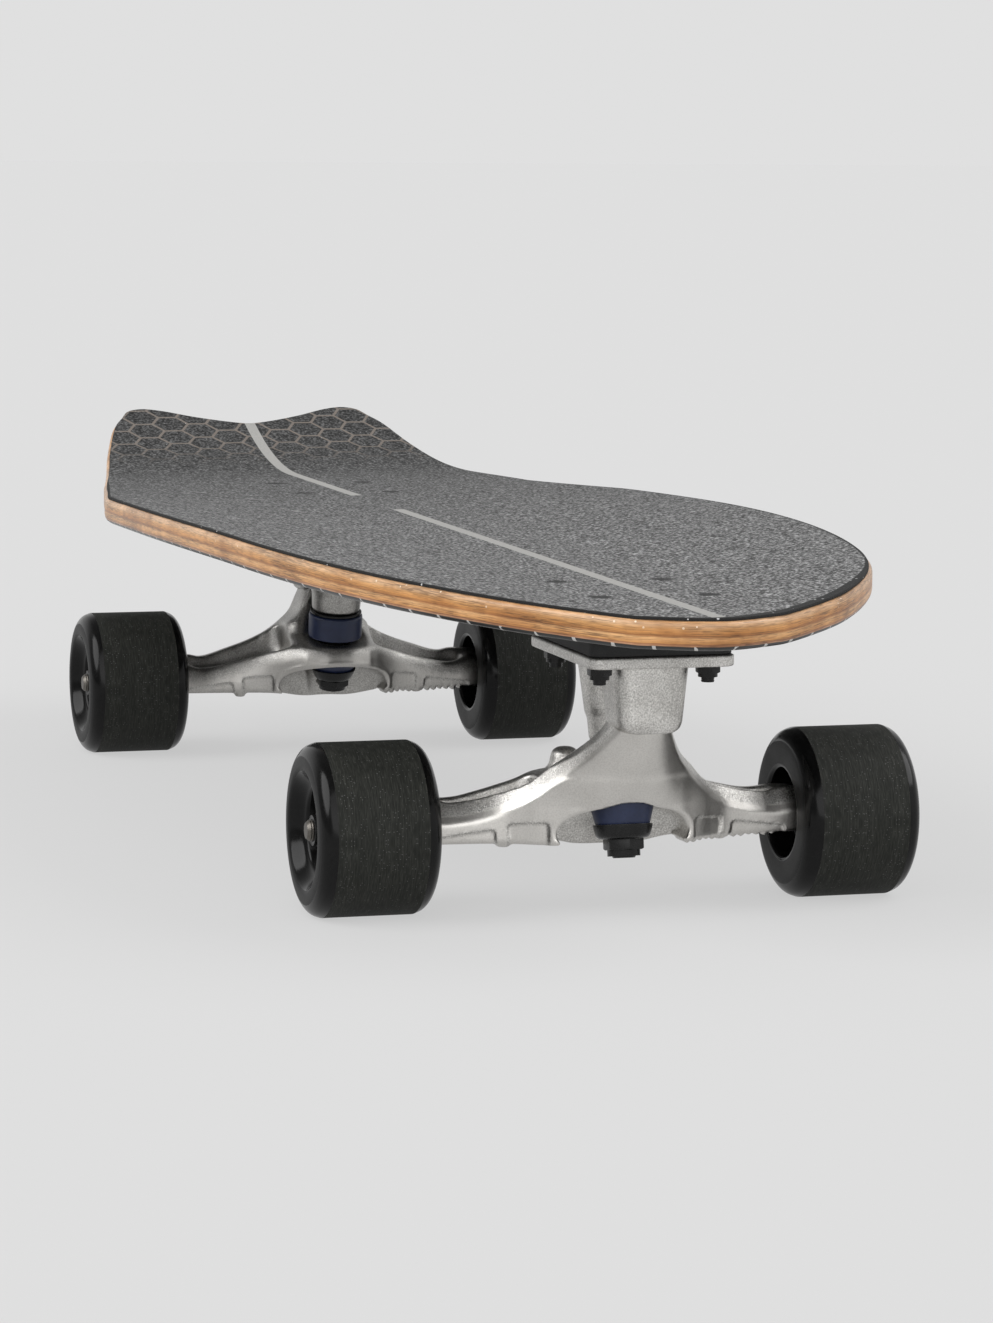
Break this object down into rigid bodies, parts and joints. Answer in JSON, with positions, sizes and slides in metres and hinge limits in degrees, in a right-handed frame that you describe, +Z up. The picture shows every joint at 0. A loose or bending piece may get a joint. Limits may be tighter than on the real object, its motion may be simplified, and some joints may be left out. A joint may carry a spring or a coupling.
{
  "type": "surf skateboard",
  "caption": "Swallow-tailed surf skateboard deck with grip tape, steering trucks with pivot, kingpin and bushings, and black wheels that spin on bearings.",
  "frame": {"origin": "on the ground under the middle of the board, at the bottom centre of its box", "axes": "+X towards the nose, +Y to the rider's left when facing the nose, +Z up"},
  "size_m": [0.746, 0.252, 0.148],
  "materials": {
    "laminated_wood": "lacquered maple plies, black painted underside",
    "grip": "coarse black abrasive sheet",
    "riser": "matt black pad",
    "cast_metal": "satin tumbled casting",
    "black_steel": "black oxide",
    "bright_steel": "plain bright steel",
    "pivot_cup": "moulded black plastic",
    "bushing": "satin navy urethane",
    "wheel": "black urethane, matt worn tread and glossy lips",
    "bearing": "dark shield"
  },
  "bodies": {
    "board": {"deck": "laminated_wood", "grip_tape": "grip", "front_riser": "riser", "front_baseplate": "cast_metal", "front_kingpin": "black_steel", "front_pivot_cup": "pivot_cup", "front_upper_bushing": "bushing", "front_lower_bushing": "bushing", "front_upper_washer": "black_steel", "front_lower_washer": "black_steel", "front_kingpin_nut": "black_steel", "front_bolt_fore_left": "black_steel", "front_lock_nut_fore_left": "black_steel", "front_bolt_fore_right": "black_steel", "front_lock_nut_fore_right": "black_steel", "front_bolt_aft_left": "black_steel", "front_lock_nut_aft_left": "black_steel", "front_bolt_aft_right": "black_steel", "front_lock_nut_aft_right": "black_steel", "rear_riser": "riser", "rear_baseplate": "cast_metal", "rear_kingpin": "black_steel", "rear_pivot_cup": "pivot_cup", "rear_upper_bushing": "bushing", "rear_lower_bushing": "bushing", "rear_upper_washer": "black_steel", "rear_lower_washer": "black_steel", "rear_kingpin_nut": "black_steel", "rear_bolt_fore_left": "black_steel", "rear_lock_nut_fore_left": "black_steel", "rear_bolt_fore_right": "black_steel", "rear_lock_nut_fore_right": "black_steel", "rear_bolt_aft_left": "black_steel", "rear_lock_nut_aft_left": "black_steel", "rear_bolt_aft_right": "black_steel", "rear_lock_nut_aft_right": "black_steel"},
    "front_truck": {"front_hanger": "cast_metal", "front_axle": "bright_steel", "front_left_speed_washer": "bright_steel", "front_left_axle_nut": "black_steel", "front_right_speed_washer": "bright_steel", "front_right_axle_nut": "black_steel"},
    "front_left_wheel": {"front_left_wheel": "wheel", "front_left_outer_bearing": "bearing", "front_left_inner_bearing": "bearing"},
    "front_right_wheel": {"front_right_wheel": "wheel", "front_right_outer_bearing": "bearing", "front_right_inner_bearing": "bearing"},
    "rear_truck": {"rear_hanger": "cast_metal", "rear_axle": "bright_steel", "rear_left_speed_washer": "bright_steel", "rear_left_axle_nut": "black_steel", "rear_right_speed_washer": "bright_steel", "rear_right_axle_nut": "black_steel"},
    "rear_left_wheel": {"rear_left_wheel": "wheel", "rear_left_outer_bearing": "bearing", "rear_left_inner_bearing": "bearing"},
    "rear_right_wheel": {"rear_right_wheel": "wheel", "rear_right_outer_bearing": "bearing", "rear_right_inner_bearing": "bearing"}
  },
  "joints": [
    {"name": "front_steer", "type": "hinge", "parent": "board", "child": "front_truck", "pos_m": [0.2606, 0, 0.0479], "axis": [0.6363, 0, 0.7715], "range_deg": [-20, 20], "stiffness_Nm_per_rad": 30, "deforming": ["front_upper_bushing", "front_lower_bushing"]},
    {"name": "rear_steer", "type": "hinge", "parent": "board", "child": "rear_truck", "pos_m": [-0.1772, 0, 0.0493], "axis": [-0.6548, 0, 0.7558], "range_deg": [-20, 20], "stiffness_Nm_per_rad": 30, "deforming": ["rear_upper_bushing", "rear_lower_bushing"]},
    {"name": "front_left_wheel_spin", "type": "hinge", "parent": "front_truck", "child": "front_left_wheel", "pos_m": [0.2401, 0.0937, 0.0325], "axis": [0, 1, 0], "continuous": true},
    {"name": "front_right_wheel_spin", "type": "hinge", "parent": "front_truck", "child": "front_right_wheel", "pos_m": [0.2401, -0.0937, 0.0325], "axis": [0, 1, 0], "continuous": true},
    {"name": "rear_left_wheel_spin", "type": "hinge", "parent": "rear_truck", "child": "rear_left_wheel", "pos_m": [-0.1977, 0.0937, 0.0325], "axis": [0, 1, 0], "continuous": true},
    {"name": "rear_right_wheel_spin", "type": "hinge", "parent": "rear_truck", "child": "rear_right_wheel", "pos_m": [-0.1977, -0.0937, 0.0325], "axis": [0, 1, 0], "continuous": true}
  ]
}
